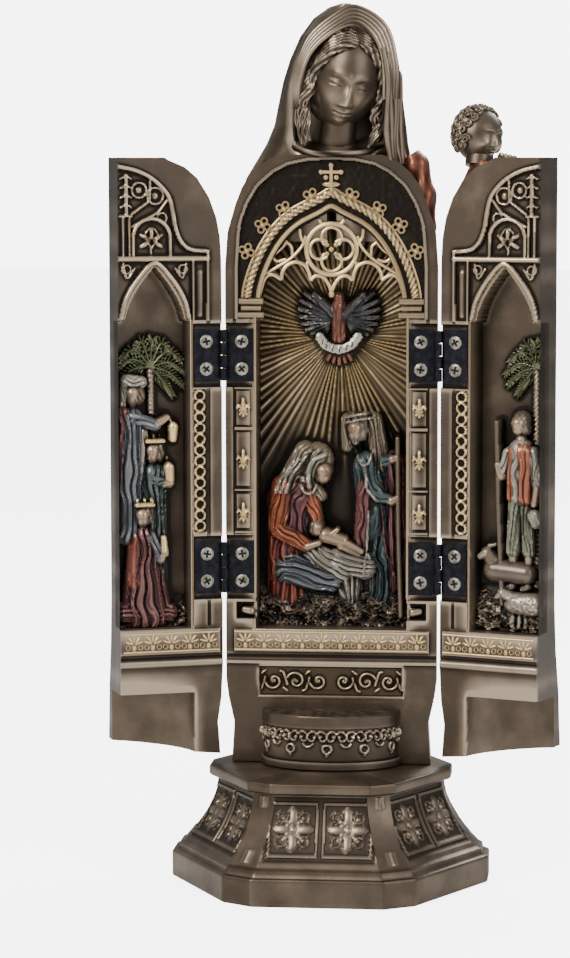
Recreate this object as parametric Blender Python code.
"""Folding triptych altarpiece: a veiled half figure whose front opens as two hinged wings.

The shrine stands on a six-sided plinth. Each wing turns on two butt hinges along its outer edge. The origin is the
centre of the plinth's underside, +Z is up and the front faces -Y. Sizes are in metres.
"""

import math

import bmesh
import bpy
import numpy as np
from mathutils import Matrix, Vector

MM = 0.001

# General fits
PIECE_GAP = 0.3 * MM
BORE_GAP = 0.3 * MM

# Plinth
SLAB_RADIUS = 54.3 * MM
SLAB_CLIP = 6.4 * MM
SLAB_HEIGHT = 8.9 * MM
RIM_RADIUS = 41.6 * MM
RIM_CLIP = 4.9 * MM
RIM_HEIGHT = 3.0 * MM
PLINTH_HEIGHT = 36.8 * MM
COVE_RADIUS = 38.6 * MM

# Shrine
SHRINE_HALF_WIDTH = 34.0 * MM
SHRINE_DEPTH = 26.0 * MM
SHRINE_TOP = 232.6 * MM
ARCH_SPRING = 197.0 * MM
WAIST_HALF_WIDTH = 31.4 * MM
WAIST_HEIGHT = 50.0 * MM
FIELD_HALF_WIDTH = 30.5 * MM
FIELD_DEPTH = 1.2 * MM
FIELD_BOTTOM = 180.4 * MM
NICHE_HALF_WIDTH = 24.2 * MM
NICHE_BOTTOM = 80.6 * MM
NICHE_SPRING = 182.0 * MM
NICHE_APEX = 214.8 * MM
NICHE_DEPTH = 14.0 * MM
FRIEZE_BOTTOM = 73.3 * MM
FRIEZE_TOP = 79.9 * MM
FRIEZE_HALF_WIDTH = 31.2 * MM
PANEL_HALF_WIDTH = 22.8 * MM
PANEL_BOTTOM = 59.0 * MM
PANEL_TOP = 68.0 * MM
PANEL_DEPTH = 0.8 * MM
WINDOW_BOTTOM = 83.8 * MM
WINDOW_TOP = 89.0 * MM
WINDOW_DEPTH = 4.0 * MM

# Drum in front of the shrine's foot
DRUM_HALF_WIDTH = 22.6 * MM
DRUM_DEPTH = 15.0 * MM
DRUM_TOP = 54.5 * MM
DRUM_LIP = 4.0 * MM
DRUM_TO_WING = 1.9 * MM

# Arch mouldings and tracery
ARCH_FOOT_X = 26.6 * MM
ARCH_FOOT_Z = 187.0 * MM
ARCH_APEX_Z = 220.4 * MM
ROPE_RADIUS = 1.2 * MM
ROLL_RADIUS = 0.9 * MM
BAR_RADIUS = 0.65 * MM
ROSE_CENTRE_Z = 202.6 * MM
ROSE_RADIUS = 8.1 * MM
LOBE_RADIUS = 3.3 * MM
CROCKET_RADIUS = 2.3 * MM
CAPITAL_WIDTH = 7.0 * MM
CAPITAL_ROLL = 1.1 * MM

# Hinges
HINGE_AXIS_X = 34.3 * MM
HINGE_AXIS_PROUD = 0.9 * MM
HINGE_CENTRES = (100.4 * MM, 168.8 * MM)
KNUCKLE_RADIUS = 1.3 * MM
KNUCKLE_COUNT = 4
BARREL_LENGTH = 16.4 * MM
PIN_RADIUS = 0.55 * MM
LEAF_THICKNESS = 0.8 * MM
LEAF_WIDTH = 8.0 * MM
LEAF_HEIGHT = 17.0 * MM
LEAF_SUNK = 0.05 * MM
MORTISE_HEIGHT = 20.2 * MM
SCREW_HEAD_RADIUS = 2.2 * MM
SCREW_TIP_RADIUS = 1.1 * MM
SCREW_SPACING = 8.8 * MM
SCREW_PROUD = 0.15 * MM

# Wings
WING_THICKNESS = 15.0 * MM
WING_HINGE_EDGE = 0.5 * MM
WING_CENTRE_GAP = 0.3 * MM
WING_TOP = 231.7 * MM
WING_FOOT = 39.6 * MM
WING_FOOT_RISE = 3.2 * MM
WING_FOOT_THICKNESS = 20.5 * MM
WING_NICHE_EDGE = 11.0 * MM
WING_NICHE_BOTTOM = 81.2 * MM
WING_NICHE_TOP = 180.0 * MM
WING_NICHE_DEPTH = 9.0 * MM
WING_ARCH_APEX = 197.0 * MM
WING_ARCH_CENTRE = 22.2 * MM
WING_ARCH_HALF_WIDTH = 9.6 * MM
WING_RECESS_TOP = 60.0 * MM
LEFT_OPENING = math.radians(21.0)
RIGHT_OPENING = math.radians(21.0)

# Bust
HEAD_CENTRE = (4.5 * MM, 1.5 * MM, 254.5 * MM)
HEAD_RADII = (10.4 * MM, 12.6 * MM, 15.6 * MM)
VEIL_TOP = 280.4 * MM
CHILD_HEAD_CENTRE = (8.0 * MM, 11.5 * MM, 239.0 * MM)
CHILD_HEAD_RADII = (8.6 * MM, 8.4 * MM, 9.4 * MM)

# Sizes that follow from the ones above
RIM_BOTTOM = PLINTH_HEIGHT - RIM_HEIGHT
SHRINE_FOOT = PLINTH_HEIGHT + PIECE_GAP
WING_WIDTH = HINGE_AXIS_X - WING_CENTRE_GAP
MORTISE_DEPTH = LEAF_SUNK + LEAF_THICKNESS + PIECE_GAP
LEAF_EDGE = KNUCKLE_RADIUS + PIECE_GAP
MORTISE_EDGE = LEAF_EDGE + LEAF_WIDTH + 3 * PIECE_GAP
WING_FACE = HINGE_AXIS_PROUD
SCREW_OFFSET = LEAF_EDGE + LEAF_WIDTH * 0.5
KNUCKLE_PITCH = BARREL_LENGTH / KNUCKLE_COUNT
BORE_RADIUS = PIN_RADIUS + BORE_GAP

MODEL = bpy.data.collections.new("triptych_altarpiece")
TOOLS = bpy.data.collections.new("cutters")


def clear_scene():
    """Remove what the file starts with and link the two collections."""
    for item in list(bpy.data.objects):
        bpy.data.objects.remove(item, do_unlink=True)
    bpy.context.scene.collection.children.link(MODEL)
    bpy.context.scene.collection.children.link(TOOLS)


def material(name, color, roughness, metallic):
    """Return a Principled material."""
    result = bpy.data.materials.new(name)
    result.use_nodes = True
    shader = result.node_tree.nodes["Principled BSDF"]
    shader.inputs["Base Color"].default_value = (*color, 1.0)
    shader.inputs["Roughness"].default_value = roughness
    shader.inputs["Metallic"].default_value = metallic
    return result


def place(name, mesh, collection=TOOLS):
    """Link a mesh as an object; tools are hidden from the render."""
    result = bpy.data.objects.new(name, mesh)
    collection.objects.link(result)
    if collection is TOOLS:
        result.hide_render = True
        result.display_type = "WIRE"
    return result


def from_bmesh(name, shape):
    """Turn a bmesh into a tool object with flat, outward faces."""
    bmesh.ops.triangulate(shape, faces=shape.faces)
    bmesh.ops.recalc_face_normals(shape, faces=shape.faces)
    mesh = bpy.data.meshes.new(name)
    shape.to_mesh(mesh)
    shape.free()
    return place(name, mesh)


def box(low, high):
    """Return a box between two corners."""
    shape = bmesh.new()
    low, high = Vector(low), Vector(high)
    matrix = Matrix.Translation((low + high) / 2) @ Matrix.Diagonal((*(high - low), 1.0))
    bmesh.ops.create_cube(shape, size=1.0, matrix=matrix)
    return from_bmesh("box", shape)


def ball(centre, radii, segments=10, rings=7, turn=None):
    """Return a stretched sphere, turned by a rotation matrix if one is given."""
    shape = bmesh.new()
    matrix = Matrix.Translation(centre) @ (turn or Matrix.Identity(4)) @ Matrix.Diagonal((*radii, 1.0))
    bmesh.ops.create_uvsphere(shape, u_segments=segments, v_segments=rings, radius=1.0, matrix=matrix)
    return from_bmesh("ball", shape)


def rod(start, end, radius_start, radius_end, segments=8):
    """Return a straight cylinder or cone between two points."""
    start, end = Vector(start), Vector(end)
    axis = end - start
    turn = axis.to_track_quat("Z", "Y").to_matrix().to_4x4()
    matrix = Matrix.Translation((start + end) / 2) @ turn
    shape = bmesh.new()
    bmesh.ops.create_cone(shape, cap_ends=True, segments=segments, radius1=radius_start, radius2=radius_end,
                          depth=axis.length, matrix=matrix)
    return from_bmesh("rod", shape)


def loft(rings):
    """Skin closed rings of equal point count and cap both ends."""
    shape = bmesh.new()
    rows = [[shape.verts.new(point) for point in ring] for ring in rings]
    count = len(rows[0])
    for lower, upper in zip(rows, rows[1:]):
        for index in range(count):
            after = (index + 1) % count
            shape.faces.new((lower[index], lower[after], upper[after], upper[index]))
    shape.faces.new(rows[0])
    shape.faces.new(rows[-1])
    return from_bmesh("loft", shape)


def curve_mesh(name, curve):
    """Turn a curve into a welded mesh tool."""
    source = bpy.data.objects.new(name, curve)
    TOOLS.objects.link(source)
    graph = bpy.context.evaluated_depsgraph_get()
    mesh = bpy.data.meshes.new_from_object(source.evaluated_get(graph))
    bpy.data.objects.remove(source, do_unlink=True)
    shape = bmesh.new()
    shape.from_mesh(mesh)
    bmesh.ops.remove_doubles(shape, verts=shape.verts, dist=1e-7)
    return from_bmesh(name, shape)


def tube(points, radius, resolution=0, cyclic=False, radii=None):
    """Return a round bar that follows the points; radii scales it along the way."""
    curve = bpy.data.curves.new("bar", "CURVE")
    curve.dimensions = "3D"
    curve.bevel_depth = radius
    curve.bevel_resolution = resolution
    curve.use_fill_caps = True
    spline = curve.splines.new("POLY")
    spline.points.add(len(points) - 1)
    for index, point in enumerate(points):
        spline.points[index].co = (*point, 1.0)
        spline.points[index].radius = radii[index] if radii else 1.0
    spline.use_cyclic_u = cyclic
    return curve_mesh("bar", curve)


def slab(outline, front, back, holes=()):
    """Return a flat outline in X and Z, with holes, thickened between two Y values."""
    curve = bpy.data.curves.new("slab", "CURVE")
    curve.dimensions = "2D"
    curve.fill_mode = "BOTH"
    curve.extrude = (back - front) / 2
    for ring in (outline, *holes):
        spline = curve.splines.new("POLY")
        spline.points.add(len(ring) - 1)
        for index, (across, height) in enumerate(ring):
            spline.points[index].co = (across, height, 0.0, 1.0)
        spline.use_cyclic_u = True
    result = curve_mesh("slab", curve)
    result.data.transform(Matrix.Translation((0, (front + back) / 2, 0)) @ Matrix.Rotation(math.pi / 2, 4, "X"))
    return result


def bake(target):
    """Replace the object's mesh by its evaluated one."""
    graph = bpy.context.evaluated_depsgraph_get()
    mesh = bpy.data.meshes.new_from_object(target.evaluated_get(graph))
    target.modifiers.clear()
    target.data = mesh


def combine(target, others, operation):
    """Apply one exact Boolean after the other and remove the tools."""
    for other in others:
        modifier = target.modifiers.new("combine", "BOOLEAN")
        modifier.solver = "EXACT"
        modifier.operation = operation
        modifier.object = other
        bake(target)
        bpy.data.objects.remove(other, do_unlink=True)
    return target


def add(target, *others):
    """Union the others with the target."""
    return combine(target, others, "UNION")


def cut(target, *others):
    """Cut the others out of the target."""
    return combine(target, others, "DIFFERENCE")


def finish(target, name, look, parent=None):
    """Move a shaped object to the model collection under its name and look."""
    target.name = name
    target.data.name = name
    TOOLS.objects.unlink(target)
    MODEL.objects.link(target)
    target.hide_render = False
    target.display_type = "TEXTURED"
    target.data.materials.clear()
    target.data.materials.append(look)
    target.parent = parent
    return target


def interpolate(table, value):
    """Read a table of (position, value, value, ...) rows at one position."""
    rows = np.array(table)
    return [float(np.interp(value, rows[:, 0], rows[:, column])) for column in range(1, rows.shape[1])]


def clipped_hexagon(radius, clip, height):
    """Return a regular hexagon's twelve corners, each corner cut off by one clip along both edges."""
    corners = [Vector((radius * math.cos(math.radians(60 * k)), radius * math.sin(math.radians(60 * k)), height))
               for k in range(6)]
    points = []
    for index, corner in enumerate(corners):
        before, after = corners[index - 1], corners[(index + 1) % 6]
        points.append(corner + (before - corner).normalized() * clip)
        points.append(corner + (after - corner).normalized() * clip)
    return points


def build_plinth(look):
    """Slab, two small steps, a hollow cove and the rim that carries the shrine."""
    edge = 0.7 * MM
    profile = [
        (0.0, SLAB_RADIUS - edge), (edge, SLAB_RADIUS), (SLAB_HEIGHT - edge, SLAB_RADIUS),
        (SLAB_HEIGHT, SLAB_RADIUS - edge), (SLAB_HEIGHT + edge, SLAB_RADIUS - 3 * edge),
        (SLAB_HEIGHT + 3 * edge, SLAB_RADIUS - 3.4 * edge), (SLAB_HEIGHT + 4 * edge, SLAB_RADIUS - 5.5 * edge),
    ]
    cove_bottom = SLAB_HEIGHT + 4.6 * edge
    cove_top = RIM_BOTTOM - 1.6 * edge
    cove_foot = SLAB_RADIUS - 6 * edge
    for step in range(7):
        share = step / 6
        height = cove_bottom + (cove_top - cove_bottom) * share
        profile.append((height, COVE_RADIUS + (cove_foot - COVE_RADIUS) * (1 - share) ** 1.7))
    profile += [(RIM_BOTTOM - edge, RIM_RADIUS - edge), (RIM_BOTTOM, RIM_RADIUS), (PLINTH_HEIGHT - edge, RIM_RADIUS),
                (PLINTH_HEIGHT, RIM_RADIUS - edge)]
    rings = []
    for height, radius in profile:
        clip = RIM_CLIP + (SLAB_CLIP - RIM_CLIP) * (radius - COVE_RADIUS) / (SLAB_RADIUS - COVE_RADIUS)
        rings.append(clipped_hexagon(radius, clip, height))
    return finish(loft(rings), "plinth", look)


def arch_half(foot_x, foot_z, apex_z, steps):
    """Points of one half of an ogee arch: it bulges outwards, then turns up to its apex."""
    points = []
    for index in range(steps + 1):
        share = index / steps
        bulge = math.sin(math.pi / 2 * min(1.0, share * 1.25)) ** 1.1
        across = foot_x * (1 - share ** 1.9)
        height = foot_z + (apex_z - foot_z) * (0.80 * bulge * share ** 0.25 + 0.20 * share ** 3)
        points.append((across, height))
    return points


def arch_points(foot_x, foot_z, apex_z, depth, steps=9):
    """Whole ogee arch from the left foot over the apex to the right foot, at one depth."""
    half = arch_half(foot_x, foot_z, apex_z, steps)
    left = [(-across, depth, height) for across, height in half]
    right = [(across, depth, height) for across, height in reversed(half[:-1])]
    return left + right


def arc(centre_x, centre_z, radius, start, end, depth, steps):
    """Points on a circle's arc in a plane of constant depth; angles in degrees from +X."""
    return [(centre_x + radius * math.cos(math.radians(start + (end - start) * k / steps)), depth,
             centre_z + radius * math.sin(math.radians(start + (end - start) * k / steps)))
            for k in range(steps + 1)]


def gown(rows, depth_offset=0.0, count=8):
    """Loft a standing or bending body from rows of (x, y, z, radius across, radius in depth), in millimetres."""
    rings = []
    for x, y, z, across, deep in rows:
        ring = []
        for index in range(count):
            angle = 2 * math.pi * (index + 0.5) / count
            ring.append((x * MM + across * MM * math.cos(angle),
                         y * MM + depth_offset + deep * MM * math.sin(angle), z * MM))
        rings.append(ring)
    return loft(rings)


def limb(points, radius, tip=0.7):
    """A bar through points in millimetres that thins towards its end."""
    count = len(points)
    radii = [1.0 + (tip - 1.0) * index / (count - 1) for index in range(count)]
    return tube([tuple(v * MM for v in point) for point in points], radius * MM, 1, False, radii)


def spot(x, y, z, *radii):
    """A small ball given in millimetres."""
    sizes = radii if len(radii) == 3 else (radii[0],) * 3
    return ball((x * MM, y * MM, z * MM), tuple(r * MM for r in sizes), 8, 6)


def shrine_block():
    """The flat-fronted block with a rounded, softly folded back."""
    w = SHRINE_HALF_WIDTH / MM
    d = SHRINE_DEPTH / MM
    table = [
        (SHRINE_FOOT / MM, w - 1.8, d - 1.0), (WAIST_HEIGHT / MM, WAIST_HALF_WIDTH / MM, d - 2.0),
        (58.0, w - 0.8, d - 1.0), (64.0, w, d), (90.0, w, d), (130.0, w, d - 0.6), (180.0, w, d),
        (ARCH_SPRING / MM, w, d), (208.0, w - 0.8, d), (217.0, w - 3.4, d - 0.2), (227.0, w - 8.6, d - 0.6),
        (231.2, w - 13.4, d - 1.0), (SHRINE_TOP / MM, w - 17.0, d - 1.4),
    ]
    rings = []
    for z, half, depth in table:
        ring = [(-half * MM, 0.0, z * MM), (half * MM, 0.0, z * MM)]
        for index in range(1, 14):
            angle = math.pi * index / 14
            fold = 1.0 + 0.035 * math.cos(9 * angle + z * 0.012)
            across = half * math.copysign(abs(math.cos(angle)) ** 0.55, math.cos(angle))
            deep = depth * math.sin(angle) ** 0.6 * fold
            ring.append((across * MM, deep * MM, z * MM))
        rings.append(ring)
    return loft(rings)


def veil_block():
    """The veil and shoulders as stacked ovals: height, left, right, front and back, in millimetres."""
    top = VEIL_TOP / MM
    table = [
        (205.0, -33.0, 33.0, 2.0, 25.0), (216.0, -32.2, 32.0, 1.4, 25.6), (225.0, -29.4, 29.0, 1.0, 26.0),
        (232.0, -25.0, 24.8, 0.6, 26.0), (236.0, -22.6, 24.0, 0.0, 25.6), (242.0, -19.8, 23.6, -2.0, 25.0),
        (249.0, -18.0, 23.0, -5.0, 24.0), (256.0, -16.2, 22.2, -8.5, 23.0), (263.0, -13.8, 20.8, -10.5, 21.4),
        (270.0, -10.6, 18.0, -10.5, 18.6), (275.5, -6.6, 14.4, -8.0, 14.6), (279.0, -1.6, 9.8, -4.4, 9.6),
        (top, 2.4, 6.4, -1.0, 4.6),
    ]
    rings = []
    for z, left, right, front, back in table:
        ring = []
        for index in range(16):
            angle = 2 * math.pi * (index + 0.5) / 16
            fold = 1.0 + 0.02 * math.cos(5 * angle) * min(1.0, (top - z) / 12)
            ring.append((((left + right) / 2 + (right - left) / 2 * math.cos(angle) * fold) * MM,
                         ((front + back) / 2 + (back - front) / 2 * math.sin(angle) * fold) * MM, z * MM))
        rings.append(ring)
    return loft(rings)


def head_turn():
    """The bust's head bends forward, turns a little to +X and leans the same way."""
    return (Matrix.Rotation(math.radians(14), 4, "Y") @ Matrix.Rotation(math.radians(15), 4, "Z")
            @ Matrix.Rotation(math.radians(20), 4, "X"))


def build_bust(target):
    """Veil, face hollow, head, neck and locks of hair."""
    cx, cy, cz = (value / MM for value in HEAD_CENTRE)
    add(target, veil_block())
    hollow = ball((HEAD_CENTRE[0], -9.0 * MM, 250.5 * MM), (13.6 * MM, 13.4 * MM, 22.0 * MM), 14, 10,
                  Matrix.Rotation(math.radians(8), 4, "Y"))
    lower_hollow = gown([(0.5, -4.0, SHRINE_TOP / MM + 0.8, 16.0, 9.0), (1.5, -4.0, 240.0, 14.5, 9.5),
                         (2.5, -6.0, 247.0, 13.0, 9.5)], 0.0, 12)
    cut(target, hollow, lower_hollow)
    neck = gown([(1.0, 6.0, 226.0, 9.0, 7.0), (1.5, 5.0, 234.0, 6.4, 6.4), (2.5, 3.5, 246.0, 6.0, 6.6)])
    head = ball(HEAD_CENTRE, HEAD_RADII, 14, 11, head_turn())
    add(target, neck, head)
    for side in (-1, 1):
        for step in range(3):
            out = 9.0 + 1.5 * step
            lock = [(cx + 3.0, cy - 10.0 + step, cz + 13.5 - step), (cx + side * out * 0.75, cy - 9.0 + step, cz + 8.0),
                    (cx + side * out, cy - 6.0 + 1.5 * step, cz - 2.0), (cx + side * (out + 0.8), cy - 3.0, cz - 11.0),
                    (cx + side * (out - 1.5 + step) - 2.0, cy - 2.0, cz - 18.0),
                    (cx + side * (out - 1.0 + step) - 3.0, cy + 0.5, cz - 23.5)]
            add(target, limb(lock, 1.5, 0.6))
    sleeve = gown([(28.0, 9.0, 207.0, 4.4, 6.0), (29.6, 9.0, 212.0, 3.6, 5.6), (29.0, 9.0, 219.0, 4.6, 6.0),
                   (29.6, 9.0, 226.0, 4.2, 6.0), (27.0, 9.0, 231.0, 4.0, 5.0)])
    add(target, sleeve)
    return target


def frame_fittings(target):
    """Cut the field, niche, mortises and panels, then lay the mouldings on the front."""
    field = [(-FIELD_HALF_WIDTH, FIELD_BOTTOM), (FIELD_HALF_WIDTH, FIELD_BOTTOM)]
    rise = SHRINE_TOP - 1.2 * MM - ARCH_SPRING
    for index in range(13):
        angle = math.pi * index / 12
        field.append((FIELD_HALF_WIDTH * math.copysign(abs(math.cos(angle)) ** 0.8, math.cos(angle)),
                      ARCH_SPRING + rise * math.sin(angle) ** 0.8))
    cut(target, slab(field, -1.0 * MM, FIELD_DEPTH))
    half = arch_half(NICHE_HALF_WIDTH, NICHE_SPRING, NICHE_APEX, 8)
    niche = [(-NICHE_HALF_WIDTH, NICHE_BOTTOM)] + [(-x, z) for x, z in half]
    niche += [(x, z) for x, z in reversed(half[:-1])] + [(NICHE_HALF_WIDTH, NICHE_BOTTOM)]
    cut(target, slab(niche, -2.0 * MM, NICHE_DEPTH))
    cut(target, box((-PANEL_HALF_WIDTH, -1.0 * MM, PANEL_BOTTOM), (PANEL_HALF_WIDTH, PANEL_DEPTH, PANEL_TOP)))
    inner = HINGE_AXIS_X - MORTISE_EDGE
    for side in (-1, 1):
        for centre in HINGE_CENTRES:
            ends = sorted((side * inner, side * (SHRINE_HALF_WIDTH + 2 * MM)))
            cut(target, box((ends[0], -1.0 * MM, centre - MORTISE_HEIGHT / 2),
                            (ends[1], MORTISE_DEPTH, centre + MORTISE_HEIGHT / 2)))
        ends = sorted((side * (NICHE_HALF_WIDTH - 1 * MM), side * FIELD_HALF_WIDTH))
        cut(target, box((ends[0], -1.0 * MM, WINDOW_BOTTOM), (ends[1], WINDOW_DEPTH, WINDOW_TOP)))
        for row in range(3):
            height = FIELD_BOTTOM + CAPITAL_ROLL * (1.2 + 2.1 * row)
            ends = (side * (ARCH_FOOT_X - CAPITAL_WIDTH * 0.5), side * (ARCH_FOOT_X + CAPITAL_WIDTH * 0.42))
            add(target, rod((ends[0], FIELD_DEPTH * 0.7, height), (ends[1], FIELD_DEPTH * 0.7, height),
                            CAPITAL_ROLL * 1.15, CAPITAL_ROLL * 1.15))
    add(target, box((-FRIEZE_HALF_WIDTH, -0.5 * MM, FRIEZE_BOTTOM), (FRIEZE_HALF_WIDTH, 1.0 * MM, FRIEZE_TOP)))
    return target


def disc(centre_x, centre_z, radius, count):
    """Corner points of a round outline."""
    return [(centre_x + radius * math.cos(2 * math.pi * k / count), centre_z + radius * math.sin(2 * math.pi * k / count))
            for k in range(count)]


def tracery_plate():
    """Pierced plate inside the arch: a rose with four round lobes over two cusped arches that meet in a pendant."""
    half = arch_half(NICHE_HALF_WIDTH + 0.9 * MM, NICHE_SPRING + 5.5 * MM, NICHE_APEX + 0.9 * MM, 8)
    outline = [(-x, z) for x, z in half] + [(x, z) for x, z in reversed(half[:-1])]
    cusps = [(22.6, 190.2), (21.6, 193.2), (19.2, 194.6), (17.2, 193.4), (16.0, 195.6), (13.4, 197.8), (10.6, 197.6),
             (8.4, 195.6), (7.0, 192.8), (5.2, 194.0), (2.8, 193.2), (1.0, 190.0)]
    outline += [(x * MM, z * MM) for x, z in cusps] + [(0.0, 188.6 * MM)] + [(-x * MM, z * MM) for x, z in reversed(cusps)]
    holes = []
    reach = ROSE_RADIUS - LOBE_RADIUS - BAR_RADIUS
    for turn in range(4):
        angle = math.radians(90 * turn)
        holes.append(disc(reach * math.cos(angle), ROSE_CENTRE_Z + reach * math.sin(angle), LOBE_RADIUS - BAR_RADIUS, 8))
    sides = [[(19.8, 197.2), (15.4, 199.6), (13.4, 201.0), (14.6, 203.6), (16.2, 202.6), (18.4, 200.4)],
             [(12.2, 201.6), (10.2, 203.6), (9.4, 207.8), (12.0, 206.6), (13.4, 204.6)]]
    for side in (-1, 1):
        for ring in sides:
            holes.append([(side * x * MM, z * MM) for x, z in ring])
    return slab(outline, 1.5 * MM, 2.9 * MM, holes)


def arch_fittings(target):
    """Rope and roll mouldings, crockets, finial and the pierced tracery."""
    depth = 0.7 * MM
    add(target, tube(arch_points(ARCH_FOOT_X, ARCH_FOOT_Z, ARCH_APEX_Z, depth), ROPE_RADIUS, 1))
    add(target, tube(arch_points(ARCH_FOOT_X - 3.2 * MM, ARCH_FOOT_Z, NICHE_APEX + 1.4 * MM, depth), ROLL_RADIUS, 0))
    add(target, tracery_plate())
    for side in (-1, 1):
        for across, height in ((27.3, 202.0), (22.1, 210.2), (15.0, 215.3), (6.4, 219.6)):
            add(target, rod((side * across * MM, 0.4 * MM, height * MM), (side * across * MM, 2.0 * MM, height * MM),
                            CROCKET_RADIUS * 0.9, CROCKET_RADIUS))
    add(target, spot(0.03, 0.83, 223.2, 2.4, 1.0, 1.2), limb([(0, 0.91, 222), (0.02, 0.92, 229.6)], 0.7, 1.0))
    add(target, limb([(-3.4, 0.72, 227.1), (3.4, 0.71, 227.12)], 0.7, 1.0))
    return target


def nativity(target):
    """The bird above, the seated mother, the standing man, the child on its cloth and the stony ground."""
    back = NICHE_DEPTH / MM
    ground = gown([(0, back - 2, 80.0, 23.4, 8.0), (-2, back - 2, 88.0, 21.0, 7.0), (-3, back - 1, 94.0, 14.0, 4.6)])
    cut(ground, box((-60 * MM, -60 * MM, 60 * MM), (60 * MM, 3.0 * MM, 120 * MM)))
    mother = gown([(-13, back - 2, 88, 8.4, 6.0), (-14, back - 2, 104, 7.0, 5.6), (-12, back - 2, 117, 6.4, 5.0),
                   (-9, back - 3, 126, 5.8, 4.6), (-5.4, back - 4, 134, 3.0, 3.0)])
    man = gown([(15, back - 1, 90, 7.0, 5.0), (15, back - 1, 112, 6.6, 5.0), (14, back - 2, 130, 6.4, 5.0),
                (11, back - 3, 139, 4.4, 4.4),
                (9, back - 4, 144, 2.6, 2.8)])
    cloth = gown([(7, back - 4, 88, 5.0, 4.0), (3, back - 4, 97, 9.4, 5.0), (2, back - 4, 106, 9.0, 4.6),
                  (-1, back - 3, 110, 4.0, 3.4)])
    add(target, ground, mother, man, cloth)
    add(target, spot(-4.2, back - 5.4, 131.6, 4.4, 4.6, 5.4), spot(8.2, back - 4.6, 144.8, 4.4, 4.6, 5.6))
    add(target, spot(-4.6, back - 5.6, 110.8, 2.5), limb([(-18.5, 9, 126), (-18, 6.4, 113), (-8, 5.4, 106.4)], 2.4))
    add(target, limb([(20, 8.6, 134), (17, 5.8, 123), (20.5, 5.6, 121.5)], 2.2))
    add(target, limb([(21.4, 7.4, 90), (20.6, 6.4, 140)], 0.9, 1.0))
    for side in (-1, 1):
        wing = [(1.4 + side * 1.0, back - 2.6, 179), (1.4 + side * 7.0, back - 3.6, 182.6),
                (1.4 + side * 12.6, back - 3.0, 187)]
        add(target, limb(wing, 3.0, 0.4))
    add(target, spot(1.4, back - 2.6, 177.0, 3.0, 3.4, 5.4))
    add(target, limb([(-4.4, back - 3.0, 174.0), (1.4, back - 3.4, 172.0), (7.4, back - 3.0, 174.0)], 1.6, 1.0))
    return target


def drum(target):
    """The half-round step with its lip, band and flared foot."""
    centre_y = 0.0
    rows = [(SHRINE_FOOT + 0.2 * MM, 1.05), (SHRINE_FOOT + 4.0 * MM, 1.02), (SHRINE_FOOT + 5.0 * MM, 0.97),
            (DRUM_TOP - DRUM_LIP - 0.6 * MM, 0.97), (DRUM_TOP - DRUM_LIP, 1.0), (DRUM_TOP - 0.4 * MM, 1.0),
            (DRUM_TOP, 0.98)]
    rings = []
    for height, scale in rows:
        ring = [(DRUM_HALF_WIDTH * scale, 3.0 * MM, height)]
        for index in range(16):
            angle = math.pi * (index + 0.5) / 16
            ring.append((DRUM_HALF_WIDTH * scale * math.cos(angle),
                         centre_y - DRUM_DEPTH * scale * math.sin(angle), height))
        ring.append((-DRUM_HALF_WIDTH * scale, 3.0 * MM, height))
        rings.append(ring)
    return add(target, loft(rings))


def build_shrine(look):
    """The whole middle casting."""
    target = drum(shrine_block())
    build_bust(target)
    frame_fittings(target)
    arch_fittings(target)
    nativity(target)
    return finish(target, "shrine", look)


def wing_block():
    """One wing from foot to top: flat inner face, straight free edge and a rounded, folded outer side."""
    left = [(39.6, 0.7), (50.0, 2.2), (58.0, 1.0), (68.0, 0.5), (180.0, 0.5), (199.5, 0.6), (206.4, 1.0), (212.6, 2.1),
            (219.1, 4.5), (225.3, 8.4), (228.7, 12.4), (231.0, 17.9), (231.7, 18.8)]
    thick = [(WING_FOOT / MM, WING_FOOT_THICKNESS / MM), (60.0, 19.0), (74.0, 16.4), (90.0, WING_THICKNESS / MM),
             (232.0, WING_THICKNESS / MM)]
    rings = []
    for z, _ in left:
        edge = max(interpolate(left, z)[0], WING_HINGE_EDGE / MM)
        deep = interpolate(thick, z)[0]
        low = WING_FOOT_RISE / MM if z < 45 else 0.0
        wide = WING_WIDTH / MM
        ring = [(edge, 0.0, z), (wide, 0.0, z + low), (wide, deep, z + low)]
        for index in range(1, 10):
            share = index / 10
            fold = 0.6 * math.sin(share * 16 + z * 0.02)
            ring.append((wide + (edge - wide) * share, (deep - 1.0) * (1 - share ** 2.6 * 0.62) + fold,
                         z + low * (1 - share)))
        ring.append((edge, deep * 0.30, z))
        rings.append([(x * MM, WING_FACE + y * MM, h * MM) for x, y, h in ring])
    return loft(rings)


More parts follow.
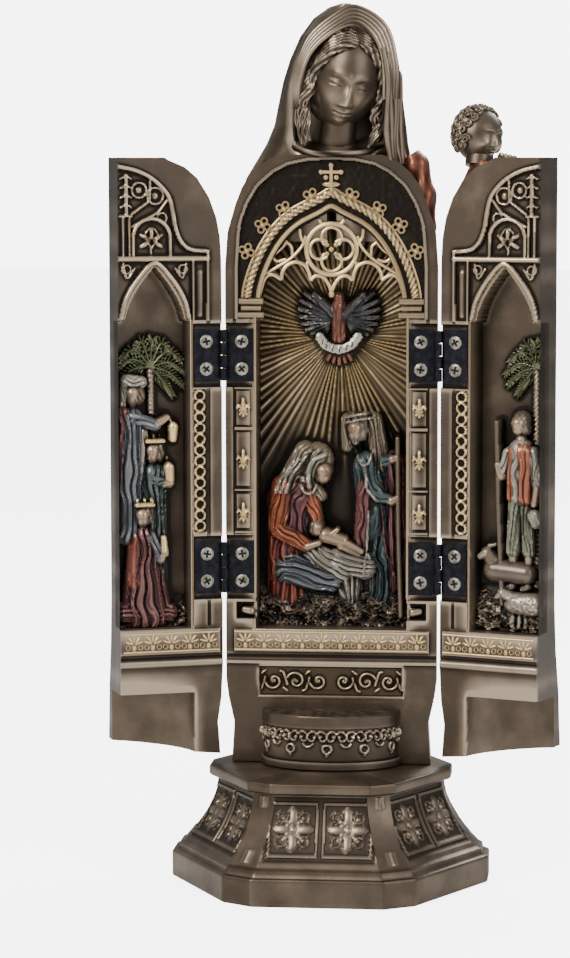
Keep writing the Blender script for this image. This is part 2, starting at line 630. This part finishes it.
def wing_fittings(target):
    """Niche open at the free edge, pointed arch, mortises, hollow for the drum and the raised frieze."""
    beyond = WING_WIDTH + 3.0 * MM
    front = WING_FACE - 1.0 * MM
    cut(target, box((WING_NICHE_EDGE, front, WING_NICHE_BOTTOM), (beyond, WING_FACE + WING_NICHE_DEPTH,
                                                                  WING_NICHE_TOP)))
    half = []
    for index in range(7):
        share = index / 6
        half.append((WING_ARCH_HALF_WIDTH * (1 - share ** 1.6),
                     WING_NICHE_TOP - 0.5 * MM + (WING_ARCH_APEX - WING_NICHE_TOP) * share))
    outline = [(WING_ARCH_CENTRE - x, z) for x, z in half] + [(WING_ARCH_CENTRE + x, z) for x, z in
                                                             reversed(half[:-1])]
    cut(target, slab(outline, front, WING_FACE + WING_NICHE_DEPTH - 0.4 * MM))
    rings = []
    for height in (WING_FOOT - 2.0 * MM, WING_RECESS_TOP):
        ring = []
        for index in range(28):
            angle = 2 * math.pi * index / 28
            ring.append((HINGE_AXIS_X + (DRUM_HALF_WIDTH + DRUM_TO_WING) * math.cos(angle),
                         -WING_FACE + (DRUM_DEPTH + DRUM_TO_WING) * math.sin(angle), height))
        rings.append(ring)
    cut(target, loft(rings))
    for centre in HINGE_CENTRES:
        cut(target, box((-1.0 * MM, front, centre - MORTISE_HEIGHT / 2),
                        (MORTISE_EDGE, WING_FACE + MORTISE_DEPTH, centre + MORTISE_HEIGHT / 2)))
    add(target, box((1.6 * MM, WING_FACE - 0.5 * MM, FRIEZE_BOTTOM), (33.0 * MM, WING_FACE + 1.0 * MM, FRIEZE_TOP)))
    bars = [
        [(5.0, 180.6), (5.0, 202.0), (12.6, 203.6), (15.6, 209.4), (16.8, 215.0), (17.9, 220.0), (22.2, 224.6),
         (28.0, 227.6)],
        [(7.0, 200.0), (33.0, 200.0)], [(9.6, 180.6), (9.6, 200.0)],
        [(12.2, 180.6), (14.6, 188.6), (22.2, 198.2), (29.8, 188.6), (32.2, 180.6)],
        [(15.4, 201.0), (16.4, 207.6), (22.4, 212.0), (28.4, 207.6), (29.2, 201.0)],
        [(17.0, 220.0), (29.4, 206.0)], [(26.6, 227.0), (32.4, 212.0)], [(32.7, 200.6), (32.7, 226.4)],
    ]
    for index, bar in enumerate(bars):
        depth = WING_FACE + (0.16 + 0.03 * index) * MM
        add(target, tube([(x * MM, depth, z * MM) for x, z in bar], 0.75 * MM, 0))
    return target


def palm(target, trunk_x, crown_z, face):
    """A trunk with four broad drooping leaves at the back of a wing's niche."""
    deep = face + 7.6
    add(target, limb([(trunk_x, deep, 84), (trunk_x + 1.0, deep, 130), (trunk_x, deep, crown_z)], 1.8, 0.7))
    for reach, drop in ((-9.0, 6.0), (-5.0, -5.0), (2.0, 8.0), (2.4, -4.0)):
        tip = trunk_x + reach
        add(target, limb([(trunk_x, deep, crown_z), ((trunk_x + tip) / 2, deep - 1.6, crown_z + abs(drop) * 0.7 + 2),
                          (tip, deep - 1.0, crown_z + drop)], 1.7, 0.5))
    return target


def kings(target):
    """Three robed kings one below the other with their vessels."""
    face = WING_FACE / MM
    deep = face + 8.0
    add(target, gown([(23, deep, 81.0, 11.0, 5.0), (24, deep, 86.0, 10.0, 4.0), (26, deep, 89.0, 6.0, 2.6)]))
    add(target, gown([(28.4, deep, 86, 4.6, 4.0), (28.4, deep, 120, 4.8, 4.2), (28.4, deep, 148, 4.4, 3.8),
                      (28.4, deep - 0.8, 153, 2.0, 2.4)]))
    add(target, gown([(21.4, deep, 86, 5.6, 4.4), (21.4, deep, 112, 5.2, 4.6), (21.4, deep, 130, 4.6, 4.2),
                      (21.4, deep - 0.8, 135, 2.0, 2.4)]))
    add(target, gown([(22.0, deep - 2, 83, 9.0, 4.6), (22.6, deep - 2, 94, 8.0, 4.8), (25.0, deep - 2, 108, 5.4, 4.6),
                      (25.4, deep - 2.4, 115, 2.2, 2.6)]))
    add(target, spot(28.2, deep - 2.2, 157.0, 3.4, 3.4, 4.4), spot(21.6, deep - 2.4, 138.8, 3.2, 3.4, 4.6))
    add(target, spot(25.2, deep - 4.0, 119.2, 3.3, 3.4, 4.8))
    add(target, limb([(25.6, deep - 2, 148), (20.0, deep - 4.0, 146), (16.4, deep - 4.4, 150)], 1.5))
    add(target, spot(15.8, deep - 4.2, 146.4, 1.9, 1.9, 3.4), spot(17.0, deep - 4.4, 130.0, 2.0, 2.0, 4.4))
    add(target, limb([(21.0, deep - 2, 129), (19.2, deep - 3.6, 127.4), (16.8, deep - 4.4, 127.4)], 1.5))
    add(target, limb([(22.0, deep - 5, 109), (19.4, deep - 5.6, 103.4)], 1.7), spot(19.2, deep - 5.6, 107.0, 1.8, 1.8, 3.4))
    return palm(target, 22.0, 166.0, face)


def shepherd(target):
    """The shepherd with his staff above a lying and a standing animal."""
    face = WING_FACE / MM
    deep = face + 8.0
    add(target, gown([(23, deep, 81.0, 11.0, 5.0), (24, deep, 90.0, 9.6, 4.0), (26, deep, 97.0, 6.4, 2.6)]))
    add(target, limb([(23.4, deep - 1, 94), (23.6, deep - 1.6, 108), (24.6, deep - 1.6, 120)], 1.9, 1.2))
    add(target, limb([(28.6, deep - 1, 94), (28.4, deep - 1.6, 108), (27.0, deep - 1.6, 120)], 1.9, 1.2))
    add(target, gown([(26.0, deep - 0.6, 112, 4.8, 3.4), (26.0, deep - 0.6, 122, 4.2, 3.6),
                      (26.0, deep - 0.6, 136, 4.8, 3.8), (26.0, deep - 1.0, 142, 2.4, 2.6)]))
    add(target, spot(26.2, deep - 1.8, 146.6, 3.2, 3.4, 4.2))
    add(target, limb([(22.4, deep - 1.4, 138), (19.6, deep - 2.4, 130), (18.6, deep - 3.6, 134)], 1.3))
    add(target, limb([(30.0, deep - 1.4, 138), (31.6, deep - 2.0, 128), (30.6, deep - 3.0, 121)], 1.3))
    add(target, limb([(20.2, deep - 2.4, 92), (18.2, deep - 3.4, 146)], 0.8, 1.0))
    add(target, spot(31.0, deep - 2.6, 117.6, 2.4, 1.6, 3.0))
    add(target, gown([(20.6, deep - 3.6, 97.0, 7.0, 3.6), (20.0, deep - 3.8, 101.0, 7.2, 3.8),
                      (19.0, deep - 3.6, 105.6, 4.4, 2.6)]))
    add(target, spot(15.4, deep - 5.0, 106.4, 2.4, 2.2, 2.2))
    add(target, gown([(26.8, deep - 4.6, 85.6, 4.8, 3.0), (26.8, deep - 4.6, 88.6, 5.6, 3.4),
                      (26.8, deep - 4.4, 93.0, 4.6, 2.6)]))
    add(target, spot(20.8, deep - 5.2, 93.4, 2.4, 2.0, 2.2))
    return palm(target, 31.2, 168.0, face)


def child_head(target):
    """The child's head and shoulder that rise from the right wing's top."""
    x, y, z = (value / MM for value in CHILD_HEAD_CENTRE)
    face = WING_FACE / MM
    shoulder = gown([(6.6, face + 10, 205.0, 4.6, 4.4), (7.0, face + 9.5, 214.0, 5.2, 4.8),
                     (8.4, face + 9.0, 222.0, 6.6, 5.0), (9.6, face + 9.0, 228.4, 6.6, 5.0),
                     (14.0, face + 9.5, 232.6, 7.0, 4.6), (10.0, face + 10.0, 234.4, 4.0, 4.0)])
    add(target, shoulder)
    add(target, ball((CHILD_HEAD_CENTRE[0], WING_FACE + CHILD_HEAD_CENTRE[1], CHILD_HEAD_CENTRE[2]),
                     CHILD_HEAD_RADII, 12, 9))
    for index in range(7):
        angle = math.radians(60 + 34 * index)
        add(target, spot(x - 1.0 + 7.0 * math.cos(angle), face + y - 1.0, z + 0.6 + 7.4 * math.sin(angle), 2.4, 4.4, 2.4))
    return target


def mirror_x(target):
    """Turn a right-hand shape into its left-hand mirror image."""
    shape = bmesh.new()
    shape.from_mesh(target.data)
    bmesh.ops.scale(shape, vec=(-1.0, 1.0, 1.0), verts=shape.verts)
    bmesh.ops.recalc_face_normals(shape, faces=shape.faces)
    shape.to_mesh(target.data)
    shape.free()
    return target


def pivot(name, side, opening):
    """Empty on a wing's hinge axis, turned by the wing's opening ahead of flat."""
    result = bpy.data.objects.new(name, None)
    MODEL.objects.link(result)
    result.location = (side * HINGE_AXIS_X, -HINGE_AXIS_PROUD, 0.0)
    result.rotation_euler = (0.0, 0.0, -side * opening)
    return result


def leaf(first_knuckle, centre):
    """A hinge leaf in hinge coordinates: axis at the origin, plate towards +X, face at the casting's face."""
    plate_front = WING_FACE + LEAF_SUNK
    plate_back = plate_front + LEAF_THICKNESS
    result = box((LEAF_EDGE, plate_front, centre - LEAF_HEIGHT / 2),
                 (LEAF_EDGE + LEAF_WIDTH, plate_back, centre + LEAF_HEIGHT / 2))
    low = centre - BARREL_LENGTH / 2
    for index in range(first_knuckle, KNUCKLE_COUNT, 2):
        bottom = low + KNUCKLE_PITCH * index + PIECE_GAP / 2
        top = bottom + KNUCKLE_PITCH - PIECE_GAP
        add(result, box((0.0, plate_front, bottom), (LEAF_EDGE + 1.0 * MM, plate_back, top)))
        add(result, rod((0, 0, bottom), (0, 0, top), KNUCKLE_RADIUS, KNUCKLE_RADIUS, 10))
    cut(result, rod((0, 0, low - 1 * MM), (0, 0, low + BARREL_LENGTH + 1 * MM), BORE_RADIUS, BORE_RADIUS, 8))
    slope = (SCREW_HEAD_RADIUS - SCREW_TIP_RADIUS) / (LEAF_THICKNESS + SCREW_PROUD)
    for offset in (-0.5, 0.5):
        height = centre + offset * SCREW_SPACING
        reach = 0.4 * MM
        start = (SCREW_OFFSET, plate_front - SCREW_PROUD - reach, height)
        end = (SCREW_OFFSET, plate_back + reach, height)
        cut(result, rod(start, end, SCREW_HEAD_RADIUS + BORE_GAP + slope * reach,
                        SCREW_TIP_RADIUS + BORE_GAP - slope * reach, 10))
    return result


def screw(centre, offset):
    """Countersunk screw head that fills the leaf's seat, in the same coordinates as the leaf."""
    front = WING_FACE + LEAF_SUNK - SCREW_PROUD
    height = centre + offset * SCREW_SPACING
    return rod((SCREW_OFFSET, front, height), (SCREW_OFFSET, front + LEAF_THICKNESS + SCREW_PROUD, height),
               SCREW_HEAD_RADIUS, SCREW_TIP_RADIUS, 10)


def build_hinges(parents, fixed, looks):
    """Four hinges: per hinge a shrine leaf, a wing leaf, a pin and four screws."""
    for side, word in ((-1, "left"), (1, "right")):
        for centre, level in zip(HINGE_CENTRES, ("lower", "upper")):
            inner = leaf(0, centre)
            outer = leaf(1, centre)
            pin = rod((0, 0, centre - BARREL_LENGTH / 2), (0, 0, centre + BARREL_LENGTH / 2), PIN_RADIUS, PIN_RADIUS)
            inner_parts = [(inner, f"{word}_{level}_shrine_leaf", looks["leaf"])]
            outer_parts = [(outer, f"{word}_{level}_wing_leaf", looks["leaf"])]
            for offset, spot_word in ((-0.5, "low"), (0.5, "high")):
                inner_parts.append((screw(centre, offset), f"{word}_{level}_shrine_screw_{spot_word}", looks["screw"]))
                outer_parts.append((screw(centre, offset), f"{word}_{level}_wing_screw_{spot_word}", looks["screw"]))
            for item, name, look in inner_parts:
                finish(mirror_x(item) if side > 0 else item, name, look, fixed[side])
            for item, name, look in outer_parts:
                finish(item if side > 0 else mirror_x(item), name, look, parents[side])
            finish(pin, f"{word}_{level}_pin", looks["pin"], fixed[side])


def build_wings(parents, looks):
    """Both wing castings, each under its pivot."""
    left = kings(wing_fittings(wing_block()))
    finish(mirror_x(left), "left_wing", looks["casting"], parents[-1])
    right = child_head(shepherd(wing_fittings(wing_block())))
    finish(right, "right_wing", looks["casting"], parents[1])


def main():
    """Build every piece of the altarpiece."""
    clear_scene()
    looks = {
        "casting": material("bronze_casting", (0.20, 0.16, 0.12), 0.42, 0.85),
        "stone": material("plinth_casting", (0.22, 0.18, 0.14), 0.42, 0.85),
        "leaf": material("hinge_leaf", (0.03, 0.035, 0.05), 0.45, 0.8),
        "pin": material("hinge_pin", (0.24, 0.22, 0.15), 0.35, 0.9),
        "screw": material("screw_steel", (0.22, 0.20, 0.17), 0.35, 0.9),
    }
    parents = {-1: pivot("left_pivot", -1, LEFT_OPENING), 1: pivot("right_pivot", 1, RIGHT_OPENING)}
    fixed = {-1: pivot("left_axis", -1, 0.0), 1: pivot("right_axis", 1, 0.0)}
    build_plinth(looks["stone"])
    build_shrine(looks["casting"])
    build_wings(parents, looks)
    build_hinges(parents, fixed, looks)
    bpy.context.view_layer.update()


main()
